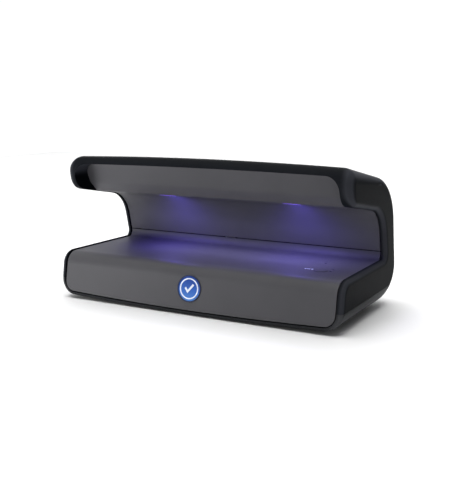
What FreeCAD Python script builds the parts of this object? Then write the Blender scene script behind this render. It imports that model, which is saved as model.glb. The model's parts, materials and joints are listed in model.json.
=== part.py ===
import FreeCAD, Part
import math
import os
from types import SimpleNamespace

import Sketcher
from FreeCAD import Placement, Rotation, Vector

# Counterfeit bill detector: a C-shaped black casing round a grey note bay, lit from the
# canopy by two ultraviolet LEDs.  +X runs across the bay, +Y to the rear, +Z up.  The
# origin lies on the table, under the middle of the detector.

SIZES = [
    # casing, side view
    ("width", 209.0, "casing across X"),
    ("foot_lift", 0.4, "table to casing bottom, in the middle"),
    ("toe_y", -51.4, "front of the lip, at the casing bottom"),
    ("rim_bend_y", -46.7, "rim, front bend"),
    ("rim_floor_z", 32.2, "rim, along the note platform"),
    ("rim_cove_y", 31.2, "rim, foot of the back wall"),
    ("rim_throat_y", 23.0, "rim, top of the back wall"),
    ("rim_throat_z", 64.5, "rim, top of the back wall"),
    ("nose_y", -41.6, "front of the canopy, carried up to its top"),
    ("nose_low_y", -39.4, "front of the canopy, carried down to its underside"),
    ("nose_low_z", 75.4, "canopy underside, carried to the front"),
    ("crest_z", 101.0, "canopy top, carried to the front"),
    ("rear_top_y", 40.5, "rear face, carried to the top"),
    ("rear_top_z", 84.6, "rear face, carried to the top"),
    ("rear_low_y", 55.6, "rear face, carried to the bottom"),
    ("crown", 1.9, "fall of the top from the middle to each end"),
    ("belly", 2.4, "rise of the bottom from the middle to each end"),
    ("wall", 2.4, "casing wall"),
    ("floor_rise", 1.0, "extra thickness of the bottom, in the middle"),
    ("parting_z", 13.2, "top edge of the bottom cover"),
    ("parting_gap", 0.2, "shadow line at the parting"),
    # casing, roundings
    ("round_bend", 10.0, "front bend"),
    ("round_cove", 3.5, "foot of the back wall"),
    ("round_throat", 23.5, "top of the back wall"),
    ("round_nose_low", 13.5, "lower front of the canopy"),
    ("round_crest", 9.5, "upper front of the canopy"),
    ("round_rear_top", 36.0, "upper rear"),
    ("round_rear_low", 22.0, "lower rear"),
    ("round_side_low", 12.0, "lower side edges"),
    ("round_side", 3.8, "other side edges"),
    ("round_nose_side", 7.4, "side edges of the canopy's front"),
    ("round_top_side", 9.5, "side edges of the top, at the canopy's front"),
    ("round_lip", 2.0, "front lip"),
    # seats of the grey panels in the casing
    ("seat_half", 100.6, "half width of the bay seat"),
    ("brow_half", 97.0, "half width of the fascia seat"),
    ("brow_top_z", 93.4, "top of the fascia seat, in the middle"),
    ("brow_fall", 1.3, "fall of the fascia's top, carried to the ends of the casing"),
    ("brow_round", 9.5, "upper corners of the fascia seat"),
    ("brow_end_y", -11.5, "rear end of the fascia seat"),
    ("lip_top_z", 2.6, "top of the front lip, in the middle"),
    ("seat_round", 7.8, "lower corners of the bay seat"),
    ("panel_gap", 0.8, "gap between a panel's ends and the casing"),
    ("fascia_gap", 0.4, "gap round the fascia"),
    # grey panels, outer surface
    ("panel", 2.0, "panel thickness"),
    ("floor_z", 31.4, "note platform"),
    ("front_top_y", -45.9, "front face, carried to the platform"),
    ("front_low_y", -50.4, "front face, at its lower edge"),
    ("front_low_z", 3.2, "lower edge of the front face, in the middle"),
    ("back_low_y", 32.0, "back wall, carried to the platform"),
    ("seam_y", 30.8, "back wall, at the seam between the panels"),
    ("seam_z", 37.5, "seam between the panels, upper side"),
    ("seam_gap", 0.6, "width of the seam"),
    ("seam_fall", 0.8, "fall of the lower panel's upper edge towards the rear"),
    ("throat_y", 23.8, "back wall, carried to the underside"),
    ("throat_z", 65.3, "back wall, carried to the underside"),
    ("fascia_low_y", -16.2, "fascia, lower edge"),
    ("fascia_low_z", 71.6, "fascia, lower edge"),
    ("fascia_mid_y", -23.4, "fascia, bend"),
    ("fascia_mid_z", 78.4, "fascia, bend"),
    ("fascia_top_y", -30.4, "fascia, upper edge"),
    ("fascia_top_z", 92.9, "fascia, upper edge in the middle"),
    ("fascia_back", 2.4, "fascia thickness along Y"),
    ("round_fascia", 3.0, "bend between the fascia and the underside"),
    ("round_fascia_mid", 10.0, "bend of the fascia"),
    # badge on the front face
    ("badge_z", 17.0, "badge centre height"),
    ("badge_hole_r", 8.8, "hole in the front face"),
    ("badge_ring_r", 8.7, "ring, outside"),
    ("badge_lens_r", 8.0, "lens"),
    ("badge_flange_r", 9.6, "ring's flange behind the face"),
    ("badge_deep", 4.2, "face to the back of the ring's flange"),
    ("badge_box_depth", 6.0, "light box behind the ring"),
    ("badge_board_wide", 24.0, "badge board across X"),
    ("badge_board_high", 18.0, "badge board height"),
    ("board", 1.6, "circuit board thickness"),
    # mode key
    ("key_x", 78.0, "key centre"),
    ("key_y", -18.8, "key centre"),
    ("key_r", 4.6, "key cap"),
    ("key_hole_r", 4.85, "hole in the platform"),
    ("key_proud", 0.5, "key cap above the platform"),
    ("key_flange_r", 5.2, "flange under the platform"),
    ("key_flange", 1.2, "flange thickness"),
    ("key_play", 0.1, "flange to the platform's underside"),
    ("key_skirt_bottom_z", 24.2, "bottom of the key's stem"),
    ("key_stem_r", 2.4, "key's stem"),
    ("plunger_r", 1.7, "switch plunger"),
    ("plunger_hole_r", 1.76, "plunger's hole"),
    ("switch_size", 6.0, "switch body, square"),
    ("switch_top_z", 23.2, "top of the switch body"),
    ("switch_tall", 3.4, "switch body height"),
    ("dot_r", 0.8, "indicator lens"),
    # ultraviolet lamp in the canopy
    ("lamp_x", 48.0, "each lamp from the middle"),
    ("lamp_y", 2.0, "lamp centre"),
    ("window_r", 6.0, "lamp window"),
    ("window_flange_r", 7.4, "window flange"),
    ("lamp_board_half", 64.0, "half length of the lamp board"),
    ("lamp_board_deep", 20.0, "lamp board across its length"),
    ("lamp_board_lift", 9.0, "underside to the lamp board"),
    # base
    ("main_board_z", 13.6, "underside of the main board"),
    ("main_board_half", 45.0, "half width of the main board"),
    ("main_board_front_y", -6.0, "front edge of the main board"),
    ("main_board_rear_y", 45.0, "rear edge of the main board"),
    ("standoff_r", 3.0, "standoff"),
    ("screw_x", 86.0, "cover screws from the middle"),
    ("screw_front_y", -30.0, "front cover screws"),
    ("screw_rear_y", 22.0, "rear cover screws"),
    ("boss_r", 4.0, "cover screw boss"),
    ("screw_r", 1.5, "cover screw shank"),
    ("screw_head_r", 2.8, "cover screw head"),
    ("foot_x", 70.0, "feet from the middle"),
    ("foot_front_y", -38.0, "front feet"),
    ("foot_rear_y", 18.0, "rear feet"),
    ("foot_r", 5.0, "foot"),
    ("foot_top_z", 2.3, "top of the feet, in their recesses"),
    ("label_top_z", 0.9, "top of the label, in its recess"),
    ("label", 0.2, "label thickness"),
    ("socket_x", 30.0, "power socket centre"),
    ("socket_wide", 9.0, "power socket, outside"),
    ("socket_tall", 3.3, "power socket, outside"),
    ("socket_mouth_y", 49.2, "power socket mouth"),
    ("socket_long", 7.4, "power socket length"),
]


class Dim:
    """A length that carries both its value and the spreadsheet formula behind it."""

    def __init__(self, value, text):
        self.value = value
        self.text = text

    def __add__(self, other):
        other = dim(other)
        return Dim(self.value + other.value, "(%s + %s)" % (self.text, other.text))

    def __sub__(self, other):
        other = dim(other)
        return Dim(self.value - other.value, "(%s - %s)" % (self.text, other.text))

    def __mul__(self, other):
        other = dim(other)
        return Dim(self.value * other.value, "(%s * %s)" % (self.text, other.text))

    def __truediv__(self, other):
        other = dim(other)
        return Dim(self.value / other.value, "(%s / %s)" % (self.text, other.text))

    def __radd__(self, other):
        return dim(other) + self

    def __rsub__(self, other):
        return dim(other) - self

    def __rmul__(self, other):
        return dim(other) * self

    def __neg__(self):
        return Dim(-self.value, "(0 - %s)" % self.text)


def dim(value):
    """Any number as a Dim."""
    if isinstance(value, Dim):
        return value
    return Dim(float(value), "%.7f" % value)


def make_sheet(doc):
    """The driving sizes as a spreadsheet, and as a namespace of Dims."""
    sheet = doc.addObject("Spreadsheet::Sheet", "Sizes")
    for row, (alias, value, note) in enumerate(SIZES, start=1):
        sheet.set("A%d" % row, alias)
        sheet.set("B%d" % row, str(value))
        sheet.setAlias("B%d" % row, alias)
        sheet.set("C%d" % row, note)
    doc.recompute()
    return SimpleNamespace(**{alias: Dim(value, "Sizes." + alias) for alias, value, _ in SIZES})


def bind(target, prop, value):
    """Bind a property of an object to a Dim."""
    target.setExpression(prop, dim(value).text)


def at(target, x=0, y=0, z=0, tilt=0):
    """Place an object, its position bound to the sheet; tilt turns it about X, in degrees."""
    point = Vector(dim(x).value, dim(y).value, dim(z).value)
    target.Placement = Placement(point, Rotation(Vector(1, 0, 0), tilt))
    for axis, value in zip("xyz", (x, y, z)):
        bind(target, ".Placement.Base." + axis, value)
    return target


# ---------------------------------------------------------------- sketches and features

def new_body(doc, name):
    return doc.addObject("PartDesign::Body", name)


def new_sketch(body, role, offset=0):
    """A sketch on one of the body's own origin planes, moved along its normal."""
    sketch = body.newObject("Sketcher::SketchObject", body.Name + "_" + role[:2])
    plane = [item for item in body.Origin.OriginFeatures if item.Role == role][0]
    sketch.AttachmentSupport = [(plane, "")]
    sketch.MapMode = "FlatFace"
    sketch.AttachmentOffset = Placement(Vector(0, 0, dim(offset).value), Rotation())
    bind(sketch, ".AttachmentOffset.Base.z", offset)
    return sketch


def hold(sketch, kind, value, *where):
    """Add a dimension to a sketch and bind it."""
    number = sketch.addConstraint(Sketcher.Constraint(kind, *where, dim(value).value))
    sketch.setExpression("Constraints[%d]" % number, dim(value).text)


def hold_point(sketch, geometry, corner, across, up):
    """Fix a point of the sketch by its two distances from the origin."""
    hold(sketch, "DistanceX", across, -1, 1, geometry, corner)
    hold(sketch, "DistanceY", up, -1, 1, geometry, corner)


def rounding(before, corner, after, radius):
    """Tangent points, centre and turning direction of one rounded corner."""
    to_before = (before - corner).normalize()
    to_after = (after - corner).normalize()
    half = to_before.getAngle(to_after) / 2
    reach = radius / math.tan(half)
    middle = (to_before + to_after).normalize()
    centre = corner + middle * (radius / math.sin(half))
    left_turn = (corner - before).cross(after - corner).z > 0
    return corner + to_before * reach, corner + to_after * reach, centre, left_turn


def outline(sketch, corners):
    """A closed outline.  Each corner is (across, up) or (across, up, radius)."""
    points = [Vector(dim(c[0]).value, dim(c[1]).value, 0) for c in corners]
    radii = [dim(c[2]) if len(c) > 2 else None for c in corners]
    count = len(points)
    starts = []
    ends = []
    arcs = []
    for i, radius in enumerate(radii):
        if radius is None:
            arcs.append(None)
            ends.append(points[i])
            starts.append(points[i])
            continue
        arc = rounding(points[i - 1], points[i], points[(i + 1) % count], radius.value)
        ends.append(arc[0])
        starts.append(arc[1])
        arcs.append(arc)
    lines = []
    for i in range(count):
        segment = Part.LineSegment(starts[i], ends[(i + 1) % count])
        lines.append(sketch.addGeometry(segment, False))
    for i, radius in enumerate(radii):
        incoming = lines[i - 1]
        outgoing = lines[i]
        if radius is None:
            sketch.addConstraint(Sketcher.Constraint("Coincident", incoming, 2, outgoing, 1))
            hold_point(sketch, outgoing, 1, corners[i][0], corners[i][1])
            continue
        arc = add_arc(sketch, arcs[i], radius)
        first, last = (1, 2) if arcs[i][3] else (2, 1)
        sketch.addConstraint(Sketcher.Constraint("Tangent", incoming, 2, arc, first))
        sketch.addConstraint(Sketcher.Constraint("Tangent", arc, last, outgoing, 1))
        hold(sketch, "Radius", radius, arc)
        tip = sketch.addGeometry(Part.Point(points[i]), True)
        sketch.addConstraint(Sketcher.Constraint("PointOnObject", tip, 1, incoming))
        sketch.addConstraint(Sketcher.Constraint("PointOnObject", tip, 1, outgoing))
        hold_point(sketch, tip, 1, corners[i][0], corners[i][1])


def add_arc(sketch, arc, radius):
    """The arc of one rounded corner, drawn anticlockwise."""
    start, end, centre, left_turn = arc
    if not left_turn:
        start, end = end, start
    circle = Part.Circle(centre, Vector(0, 0, 1), radius.value)
    turn = [math.atan2(p.y - centre.y, p.x - centre.x) for p in (start, end)]
    return sketch.addGeometry(Part.ArcOfCircle(circle, turn[0], turn[1]), False)


def ring(sketch, across, up, radius):
    """A circle in a sketch."""
    centre = Vector(dim(across).value, dim(up).value, 0)
    circle = sketch.addGeometry(Part.Circle(centre, Vector(0, 0, 1), dim(radius).value), False)
    hold_point(sketch, circle, 3, across, up)
    hold(sketch, "Radius", radius, circle)


def pad(sketch, length, both=False, back=False):
    """Pad a sketch along its normal, to both sides alike, or backwards."""
    body = sketch.getParentGeoFeatureGroup()
    feature = body.newObject("PartDesign::Pad", "Pad")
    feature.Profile = sketch
    bind(feature, "Length", length)
    feature.SideType = "Symmetric" if both else "One side"
    feature.Reversed = back
    return feature


def pocket(sketch, depth, back=False, both=False):
    """Cut a sketch out of its body, against the sketch's normal unless back is set."""
    body = sketch.getParentGeoFeatureGroup()
    feature = body.newObject("PartDesign::Pocket", "Pocket")
    feature.Profile = sketch
    bind(feature, "Length", depth)
    feature.SideType = "Symmetric" if both else "One side"
    feature.Reversed = back
    return feature


def prism(doc, name, role, corners, length, offset=0, both=False, back=False):
    """A body padded from one outline."""
    body = new_body(doc, name)
    sketch = new_sketch(body, role, offset)
    outline(sketch, corners)
    pad(sketch, length, both, back)
    return body


def block(doc, name, low, high):
    """A box between two corners."""
    box = doc.addObject("Part::Box", name)
    for prop, start, end in zip(("Length", "Width", "Height"), low, high):
        bind(box, prop, dim(end) - start)
    return at(box, *low)


def drum(doc, name, radius, tall, x=0, y=0, z=0, tilt=0):
    """A cylinder that stands on a point."""
    cylinder = doc.addObject("Part::Cylinder", name)
    bind(cylinder, "Radius", radius)
    bind(cylinder, "Height", tall)
    return at(cylinder, x, y, z, tilt)


def fuse(doc, name, pieces):
    feature = doc.addObject("Part::MultiFuse", name)
    feature.Shapes = pieces
    feature.Refine = True
    return feature


def cut(doc, name, base, tool):
    feature = doc.addObject("Part::Cut", name)
    feature.Base = base
    feature.Tool = tool
    feature.Refine = True
    return feature


def common(doc, name, first, second):
    feature = doc.addObject("Part::Common", name)
    feature.Base = first
    feature.Tool = second
    feature.Refine = True
    return feature


def group(doc, name, pieces):
    """Several separate solids as one sub-part."""
    feature = doc.addObject("Part::Compound", name)
    feature.Links = pieces
    return feature


def four_places(near_x, front_y, rear_y):
    return [(near_x, front_y), (-near_x, front_y), (near_x, rear_y), (-near_x, rear_y)]


# ---------------------------------------------------------------- casing

def casing_blank(doc, s, name, inset, lowering, raising):
    """The C-shaped casing as a full block, before its edges are rounded.

    All faces are moved in by the inset.  The top comes down by the lowering as well, and
    the bottom goes up by the raising.
    """
    i = dim(inset)
    roof = i + lowering
    low = s.foot_lift + i + raising
    body = new_body(doc, name)
    side = new_sketch(body, "YZ_Plane")
    outline(side, [
        (s.toe_y + i, low),
        (s.rear_low_y - i * 1.2, low),
        (s.rear_top_y - i, s.rear_top_z - roof),
        (s.nose_y + i, s.crest_z - roof),
        (s.nose_low_y + i, s.nose_low_z + i, s.round_nose_low - i),
        (s.rim_throat_y + i, s.rim_throat_z + i, s.round_throat + i),
        (s.rim_cove_y + i, s.rim_floor_z - i, s.round_cove + i),
        (s.rim_bend_y + i, s.rim_floor_z - i, s.round_bend - i),
    ])
    pad(side, s.width - i * 2, both=True)
    return body


def arc_cut(body, s, middle, bow, way, slope=0):
    """Cut a block to a shallow arc across X, over its whole depth.

    The arc stands at the middle height over X = 0, and bows by the bow at the casing's ends:
    way is 1 to take off what lies above a crown, -1 what lies under a belly.  The cut
    starts ahead of the canopy and drops by the slope.  The arc is carried past the ends.
    """
    overhang = 1.1
    ahead = 20
    clear = 45
    half = s.width / 2 * overhang
    rise = bow * overhang ** 2
    start = middle + dim(slope) * ahead
    edge = start - rise * way
    radius = (half * half + rise * rise) / (rise * 2)
    face = new_sketch(body, "XZ_Plane", -s.nose_y + ahead)
    circle = Part.Circle(Vector(0, (start - radius * way).value, 0), Vector(0, 0, 1), radius.value)
    swing = math.asin(half.value / radius.value)
    turn = math.pi / 2 * way
    arc = face.addGeometry(Part.ArcOfCircle(circle, turn - swing, turn + swing), False)
    near = Vector(-half.value * way, edge.value, 0)
    far = Vector(half.value * way, edge.value, 0)
    lift = Vector(0, clear * way, 0)
    sides = [(near, near + lift), (near + lift, far + lift), (far + lift, far)]
    lines = [face.addGeometry(Part.LineSegment(a, b), False) for a, b in sides]
    face.addConstraint(Sketcher.Constraint("Coincident", arc, 2, lines[0], 1))
    face.addConstraint(Sketcher.Constraint("Coincident", lines[0], 2, lines[1], 1))
    face.addConstraint(Sketcher.Constraint("Coincident", lines[1], 2, lines[2], 1))
    face.addConstraint(Sketcher.Constraint("Coincident", lines[2], 2, arc, 1))
    hold_point(face, lines[0], 1, -half * way, edge)
    hold_point(face, lines[2], 2, half * way, edge)
    hold_point(face, lines[0], 2, -half * way, edge + clear * way)
    hold_point(face, lines[1], 2, half * way, edge + clear * way)
    hold(face, "Radius", radius, arc)
    feature = pocket(face, s.width)
    if slope:
        feature.UseCustomVector = True
        feature.Direction = Vector(0, 1, -slope.value)


def bowed(s, bow, x):
    """How far an arc with this bow has moved from its middle height at a place along X."""
    share = x / (s.width / 2)
    return bow * share * share


# what tells the casing block's edges apart, in mm
CANOPY_Z = 70
TOP_Z = 85
LOW_Z = 10
REAR_TOP_Y = 30
REAR_LOW_Y = 50
FRONT_LOW_Y = -45
LONG_EDGE = 40
NOSE_ARC_REACH = 6
NOSE_ARC_HEIGHT = 5


def edge_radius(edge, s, inset, lowering, raising):
    """The rounding that one edge of the casing block gets, or nothing."""
    half = s.width.value / 2 - inset
    middle = edge.valueAt((edge.FirstParameter + edge.LastParameter) / 2)
    at_side = all(abs(abs(v.Point.x) - half) < 0.05 for v in edge.Vertexes)
    box = edge.BoundBox
    if at_side and box.XLength < 0.1:
        if middle.z < (s.foot_lift + s.belly).value + inset + raising + 0.05:
            return s.round_side_low.value - inset
        nose_y = s.nose_low_y.value + inset
        if middle.z > CANOPY_Z and middle.y < nose_y + 0.1:
            return s.round_nose_side.value - inset
        if middle.z > TOP_Z and box.YLength > LONG_EDGE:
            return (s.round_side.value - inset, s.round_top_side.value - inset)
        on_arc = middle.y < nose_y + NOSE_ARC_REACH and box.ZLength > NOSE_ARC_HEIGHT
        if middle.z > CANOPY_Z and on_arc:
            return (s.round_side.value - inset, s.round_nose_side.value - inset)
        return s.round_side.value - inset
    if middle.z > s.crest_z.value - inset - lowering - 3 and middle.y < 0:
        return s.round_crest.value - inset
    if middle.y > REAR_TOP_Y and middle.z > CANOPY_Z:
        return s.round_rear_top.value - inset
    if middle.y > REAR_LOW_Y and middle.z < LOW_Z:
        return s.round_rear_low.value - inset
    if middle.y < FRONT_LOW_Y and middle.z < LOW_Z:
        return s.round_lip.value - inset * 0.5
    return None


def rounded(doc, s, name, blank, inset=0, lowering=0, raising=0):
    """Round the casing block's edges."""
    doc.recompute()
    feature = doc.addObject("Part::Fillet", name)
    feature.Base = blank
    edges = []
    for number, edge in enumerate(blank.Shape.Edges, start=1):
        radius = edge_radius(edge, s, inset, lowering, raising)
        if isinstance(radius, tuple):
            first, last = [v.Point.z for v in edge.Vertexes]
            low, high = radius
            edges.append((number, low, high) if first < last else (number, high, low))
        elif radius:
            edges.append((number, radius, radius))
    feature.Edges = edges
    doc.recompute()
    return feature


def corner_cut(body, half, edge, radius, way, start, depth):
    """Round the two corners of a block that faces the front; way is 1 at its top, -1 below."""
    face = new_sketch(body, "XZ_Plane", start)
    for side in (1, -1):
        inner = (half - radius - 1) * side
        outer = (half + 2) * side
        outline(face, [
            (inner, edge + 2 * way),
            (outer, edge + 2 * way),
            (outer, edge - (radius + 1) * way),
            (half * side, edge - (radius + 1) * way),
            (half * side, edge, radius),
            (inner, edge),
        ])
    return pocket(face, depth)


def bay_seat(doc, s):
    """What is cut from the casing so that the grey panels lie between its sides."""
    body = prism(doc, "BaySeat", "YZ_Plane", [
        (-60, s.lip_top_z),
        (s.rim_bend_y + 5, s.lip_top_z),
        (s.rim_bend_y + 5, s.floor_z - 4),
        (s.back_low_y + 4, s.floor_z - 4),
        (s.throat_y + 4.2, s.throat_z + 4),
        (s.brow_end_y - 0.5, s.throat_z + 9.7),
        (s.brow_end_y - 0.5, 60),
        (-60, 60),
    ], s.seat_half * 2, both=True)
    arc_cut(body, s, s.lip_top_z, s.belly, -1)
    low = s.lip_top_z + bowed(s, s.belly, s.seat_half - s.seat_round)
    corner_cut(body, s.seat_half, low, s.seat_round, -1, 61, 40)
    return body


def brow_back(s):
    """Two points on the line behind the fascia, where its seat ends."""
    low = (s.fascia_low_y + 1.2, s.fascia_low_z + 3.4)
    high = (s.fascia_top_y + 3.1, s.brow_top_z)
    return low, high


def brow_seat(doc, s):
    """What is cut from the canopy's front for the fascia."""
    low, high = brow_back(s)
    body = prism(doc, "BrowSeat", "YZ_Plane", [
        (-60, 60),
        (s.brow_end_y, 60),
        (s.brow_end_y, low[1]),
        low,
        high,
        (-60, s.brow_top_z),
    ], s.brow_half * 2, both=True)
    arc_cut(body, s, s.brow_top_z, s.brow_fall, 1)
    high_end = s.brow_top_z - bowed(s, s.brow_fall, s.brow_half - s.brow_round)
    corner_cut(body, s.brow_half, high_end, s.brow_round, 1, 61, 50)
    return body


def brow_block(doc, s):
    """The part of the canopy's front that stays solid behind the rim."""
    low, high = brow_back(s)
    return prism(doc, "BrowBlock", "YZ_Plane", [
        (-60, 60),
        (s.brow_end_y, 60),
        (s.brow_end_y, low[1]),
        low,
        high,
        (high[0] - 5, s.brow_top_z + 8),
        (-60, s.brow_top_z + 12),
    ], s.width * 1.1, both=True)


def casing_wall(doc, s):
    """The hollow casing, open along the note bay, before it is parted."""
    blank = casing_blank(doc, s, "CasingBlank", 0, 0, 0)
    slope = (s.crest_z - s.rear_top_z) / (s.rear_top_y - s.nose_y)
    arc_cut(blank, s, s.crest_z, s.crown, 1, slope)
    arc_cut(blank, s, s.foot_lift, s.belly, -1)
    outer = rounded(doc, s, "CasingForm", blank)
    lowering = s.crown * 0.7
    inside = casing_blank(doc, s, "CavityBlank", s.wall, lowering, s.floor_rise)
    inner = rounded(doc, s, "CavityForm", inside, s.wall.value, lowering.value, s.floor_rise.value)
    cavity = cut(doc, "Cavity", inner, brow_block(doc, s))
    hollow = cut(doc, "HollowCasing", outer, cavity)
    seats = fuse(doc, "Seats", [bay_seat(doc, s), brow_seat(doc, s)])
    return cut(doc, "CasingWall", hollow, seats)


def below_parting(doc, s, name, top):
    """A slab that holds everything under a height."""
    return block(doc, name, (-s.width, -s.width, -5), (s.width, s.width, top))


def rear_boss(doc, s, side):
    """A screw boss of the casing, with the rib that ties it to the side wall."""
    low = s.parting_z + s.parting_gap
    boss = drum(doc, "RearBoss", s.boss_r, 12, s.screw_x * side, s.screw_rear_y, low)
    wall_x = s.width / 2 - s.wall + 0.4
    ends = sorted([s.screw_x * side, wall_x * side], key=lambda end: end.value)
    rib = block(doc, "BossRib", (ends[0], s.screw_rear_y - 1.2, low + 1),
                (ends[1], s.screw_rear_y + 1.2, low + 12))
    return [boss, rib]


def outer_shell(doc, s, wall):
    """Top, rear, sides and brow in one moulding, with two screw bosses."""
    slab = below_parting(doc, s, "UnderShell", s.parting_z + s.parting_gap)
    upper = cut(doc, "ShellWall", wall, slab)
    body = fuse(doc, "ShellWithBosses", [upper] + rear_boss(doc, s, 1) + rear_boss(doc, s, -1))
    tools = [drum(doc, "BossHole", s.screw_r + 0.05, 20, s.screw_x * side, s.screw_rear_y, 5)
             for side in (1, -1)]
    tools.append(socket_opening(doc, s))
    return cut(doc, "OuterShell", body, fuse(doc, "ShellTools", tools))


def slot_outline(sketch, x, z, wide, tall):
    """A slot with round ends."""
    half = wide / 2
    rise = tall / 2
    end = dim(rise) * 0.98
    outline(sketch, [
        (x - half, z - rise, end),
        (x + half, z - rise, end),
        (x + half, z + rise, end),
        (x - half, z + rise, end),
    ])


def socket_z(s):
    """Centre height of the power socket, which stands on the main board."""
    return s.main_board_z + s.board + s.socket_tall / 2


def socket_opening(doc, s):
    body = new_body(doc, "SocketOpening")
    face = new_sketch(body, "XZ_Plane", -54)
    slot_outline(face, s.socket_x, socket_z(s), s.socket_wide + 1.8, s.socket_tall + 1.8)
    pad(face, 10)
    return body


def bottom_cover(doc, s, wall):
    """Tray under the casing: bosses, standoffs, recesses, vents and screw seats."""
    slab = below_parting(doc, s, "CoverSlab", s.parting_z)
    tray = common(doc, "CoverWall", wall, slab)
    floor = s.foot_lift + s.wall + s.floor_rise - 0.8
    posts = []
    tools = []
    for x, y in four_places(s.screw_x, s.screw_front_y, s.screw_rear_y):
        posts.append(drum(doc, "CoverBoss", s.boss_r + 0.6, s.parting_z - floor, x, y, floor))
        tools.append(drum(doc, "HeadSeat", s.screw_head_r + 0.2, 6, x, y, -1))
        tools.append(drum(doc, "ShankHole", s.screw_r + 0.15, 20, x, y, 0))
    for x, y in board_posts(s):
        posts.append(drum(doc, "Standoff", s.standoff_r, s.main_board_z - floor, x, y, floor))
        tools.append(drum(doc, "StandoffHole", 0.95, 9, x, y, s.main_board_z - 7))
    for x, y in four_places(s.foot_x, s.foot_front_y, s.foot_rear_y):
        tools.append(drum(doc, "FootSeat", s.foot_r + 0.15, s.foot_top_z + 5, x, y, -5))
    for step in range(-3, 4):
        x = step * 8
        tools.append(block(doc, "Vent", (x - 1, 12, -1), (x + 1, 26, 5)))
    tools.append(label_sheet(doc, s, "LabelSeat", 0.4, 5))
    body = fuse(doc, "CoverWithPosts", [tray] + posts)
    return cut(doc, "BottomCover", body, fuse(doc, "CoverTools", tools))


def board_posts(s):
    """Where the main board is screwed down."""
    return four_places(s.main_board_half - 4, s.main_board_front_y + 4, 30)


# ---------------------------------------------------------------- grey panels

def lower_panel(doc, s):
    """Front face, note platform and the foot of the back wall, in one bent moulding."""
    p = s.panel
    top = s.seam_z - s.seam_gap
    strip = prism(doc, "LowerStrip", "YZ_Plane", [
        (s.front_low_y, s.front_low_z),
        (s.front_low_y + p, s.front_low_z),
        (s.front_top_y + p, s.floor_z - p, s.round_bend - 0.8 - p),
        (s.back_low_y + p, s.floor_z - p, s.round_cove + 1.2),
        (s.seam_y + p, top - s.seam_fall),
        (s.seam_y, top),
        (s.back_low_y, s.floor_z, s.round_cove + 0.8),
        (s.front_top_y, s.floor_z, s.round_bend - 0.8),
    ], (s.seat_half - s.panel_gap) * 2, both=True)
    half = s.seat_half - s.panel_gap
    radius = s.seat_round - s.panel_gap
    arc_cut(strip, s, s.front_low_z, s.belly, -1)
    low_end = s.front_low_z + bowed(s, s.belly, half - radius)
    corner_cut(strip, half, low_end, radius, -1, 61, 40)
    under = s.floor_z - p + 0.3
    posts = []
    tools = [badge_frame(drum(doc, "BadgeHole", s.badge_hole_r, 10), s, -5)]
    tools.append(drum(doc, "KeyHole", s.key_hole_r, 10, s.key_x, s.key_y, s.floor_z - 5))
    for x, y in dots(s):
        tools.append(drum(doc, "DotHole", s.dot_r + 0.05, 10, x, y, s.floor_z - 5))
    low = s.parting_z + 0.1
    for side in (1, -1):
        x = s.screw_x * side
        posts.append(drum(doc, "PanelBoss", s.boss_r - 0.4, under - low, x, s.screw_front_y, low))
        tools.append(drum(doc, "PanelBossHole", s.screw_r + 0.05, 11, x, s.screw_front_y, low - 1))
    for x, y in key_posts(s):
        foot = key_board_top(s)
        posts.append(drum(doc, "KeyPost", 2.6, under - foot, x, y, foot))
        tools.append(drum(doc, "KeyPostHole", 0.95, 7, x, y, foot - 1))
    body = fuse(doc, "LowerWithPosts", [strip] + posts)
    return cut(doc, "LowerPanel", body, fuse(doc, "LowerTools", tools))


def upper_panel(doc, s):
    """Back wall, canopy underside and fascia, in one bent moulding."""
    p = s.panel
    half = s.seat_half - s.panel_gap
    strip = prism(doc, "UpperStrip", "YZ_Plane", [
        (s.fascia_top_y, s.fascia_top_z),
        (s.fascia_mid_y, s.fascia_mid_z, s.round_fascia_mid),
        (s.fascia_low_y, s.fascia_low_z, s.round_fascia),
        (s.throat_y, s.throat_z, s.round_throat + 0.8),
        (s.seam_y, s.seam_z),
        (s.seam_y + p, s.seam_z),
        (s.throat_y + p, s.throat_z + p, s.round_throat + 0.8 + p),
        (s.fascia_low_y + s.fascia_back / 2, s.fascia_low_z + p, s.round_fascia - p),
        (s.fascia_mid_y + s.fascia_back, s.fascia_mid_z + s.fascia_back / 2,
         s.round_fascia_mid - p),
        (s.fascia_top_y + s.fascia_back, s.fascia_top_z),
    ], half * 2, both=True)
    fascia = s.brow_half - s.fascia_gap
    ends = new_sketch(strip, "XZ_Plane", 61)
    for side in (1, -1):
        outline(ends, [(fascia * side, 60), ((half + 2) * side, 60),
                       ((half + 2) * side, s.crest_z), (fascia * side, s.crest_z)])
    pocket(ends, 61 + s.brow_end_y)
    radius = s.brow_round - s.fascia_gap
    arc_cut(strip, s, s.fascia_top_z, s.brow_fall, 1)
    top_end = s.fascia_top_z - bowed(s, s.brow_fall, fascia - radius)
    corner_cut(strip, fascia, top_end, radius, 1, 61, 50)
    posts = []
    holes = []
    for x, y in lamp_posts(s):
        posts.append(drum(doc, "LampPost", 2.6, s.lamp_board_lift - p + 0.3, x, y, p - 0.3))
        holes.append(drum(doc, "LampPostHole", 0.95, 7, x, y, s.lamp_board_lift - 6))
    for side in (1, -1):
        holes.append(drum(doc, "WindowHole", s.window_r + 0.1, 8, s.lamp_x * side, 0, -4))
    post_set = lamp_frame(fuse(doc, "LampPosts", posts), s)
    hole_set = lamp_frame(fuse(doc, "LampHoles", holes), s)
    body = fuse(doc, "UpperWithPosts", [strip, post_set])
    return cut(doc, "UpperPanel", body, hole_set)


# ---------------------------------------------------------------- badge

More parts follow.
